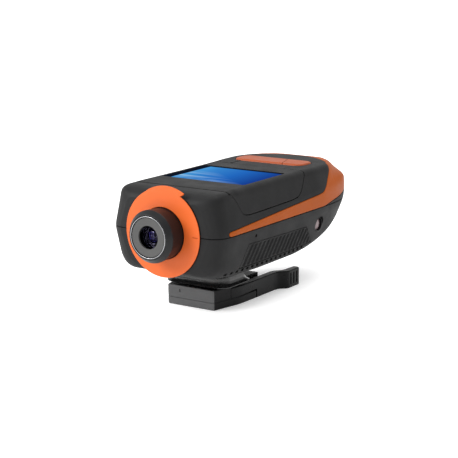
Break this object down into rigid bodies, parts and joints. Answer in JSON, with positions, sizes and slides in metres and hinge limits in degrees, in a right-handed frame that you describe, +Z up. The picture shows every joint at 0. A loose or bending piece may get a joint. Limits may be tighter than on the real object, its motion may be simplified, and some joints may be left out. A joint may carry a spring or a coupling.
{
  "type": "action camera",
  "caption": "Bullet-style action camera with a front lens, a lift-off top display module, press keys and a snap-in buckle mount.",
  "frame": {"origin": "under the middle of the object's box, on the surface that the mount stands on", "axes": "+Z up; the lens looks along -Y; +Y runs to the stern, the long way; +X is on the right when looking at the lens from the front"},
  "size_m": [0.048, 0.1062, 0.047],
  "materials": {
    "charcoal_shell": "soft-touch matte, very fine grain",
    "bright_orange": "satin moulded plastic",
    "deep_orange": "satin painted plastic",
    "gloss_black": "glossy moulded nylon",
    "matte_black": "satin black",
    "grip_rubber": "ribbed rubber",
    "lens_glass": "coated optical glass",
    "steel": "bright",
    "brass": "machined",
    "circuit_board": "solder mask",
    "lens_grey": "matte grey print",
    "battery_wrap": "satin wrap",
    "lcd": "lit colour screen",
    "ir_lens": "smoked lens"
  },
  "bodies": {
    "mount": {"mount_block": "gloss_black", "mount_pedestal": "gloss_black", "mount_pad": "grip_rubber"},
    "clamp_screw": {"tripod_screw": "steel"},
    "arm_right": {"release_arm_right": "gloss_black"},
    "arm_left": {"release_arm_left": "gloss_black"},
    "camera": {"upper_shell": "charcoal_shell", "lower_shell": "charcoal_shell", "side_band": "deep_orange", "grip_right": "grip_rubber", "grip_left": "grip_rubber", "case_screw_1": "steel", "case_screw_2": "steel", "case_screw_3": "steel", "case_screw_4": "steel", "front_ring": "bright_orange", "bay_tray": "matte_black", "battery": "battery_wrap", "card_slot": "steel", "memory_card": "matte_black", "usb_port": "steel", "contact_block": "matte_black", "main_board": "circuit_board", "processor": "matte_black", "speaker": "matte_black", "button_board": "circuit_board", "record_switch": "steel", "power_switch": "steel", "microphone": "matte_black", "ir_bezel": "matte_black", "ir_window": "ir_lens", "tripod_insert": "brass"},
    "lens": {"lens_barrel": "matte_black", "lens_rim": "steel", "lens_face_ring": "lens_grey", "cover_glass": "lens_glass", "lens_cell": "matte_black", "front_element": "lens_glass", "rear_element": "lens_glass", "ir_cut_filter": "lens_glass", "image_sensor": "lcd", "sensor_board": "circuit_board", "barrel_seal": "grip_rubber"},
    "display_module": {"display_cover": "charcoal_shell", "display_window": "lens_glass", "lcd_panel": "lcd", "display_board": "circuit_board", "module_base": "matte_black", "contact_pad": "brass"},
    "record_key": {"record_button": "deep_orange"},
    "power_key": {"power_button": "deep_orange"},
    "latch": {"module_latch": "charcoal_shell"}
  },
  "joints": [
    {"name": "camera_pan", "type": "hinge", "parent": "mount", "child": "camera", "pos_m": [0, -0.0166, 0], "axis": [0, 0, 1], "range_deg": [-180, 180]},
    {"name": "clamp_screw_turn", "type": "hinge", "parent": "mount", "child": "clamp_screw", "pos_m": [0, -0.0166, 0], "axis": [0, 0, 1], "continuous": true},
    {"name": "arm_right_squeeze", "type": "hinge", "parent": "mount", "child": "arm_right", "pos_m": [0.0115, -0.0192, 0.0037], "axis": [0, 0, 1], "range_deg": [0, 3], "stiffness_Nm_per_rad": 2},
    {"name": "arm_left_squeeze", "type": "hinge", "parent": "mount", "child": "arm_left", "pos_m": [-0.0115, -0.0192, 0.0037], "axis": [0, 0, -1], "range_deg": [0, 3], "stiffness_Nm_per_rad": 2},
    {"name": "lens_turn", "type": "hinge", "parent": "camera", "child": "lens", "pos_m": [0, -0.0448, 0.0302], "axis": [0, 1, 0], "range_deg": [-90, 90]},
    {"name": "module_lift", "type": "slide", "parent": "camera", "child": "display_module", "axis": [0, 0, 1], "range_m": [0, 0.025]},
    {"name": "latch_press", "type": "slide", "parent": "camera", "child": "latch", "axis": [0, 0, -1], "range_m": [0, 0.0008], "stiffness_N_per_m": 400},
    {"name": "record_button_press", "type": "slide", "parent": "camera", "child": "record_key", "axis": [0, 0, -1], "range_m": [0, 0.0006], "stiffness_N_per_m": 500},
    {"name": "power_button_press", "type": "slide", "parent": "camera", "child": "power_key", "axis": [0, 0, -1], "range_m": [0, 0.0006], "stiffness_N_per_m": 500}
  ]
}
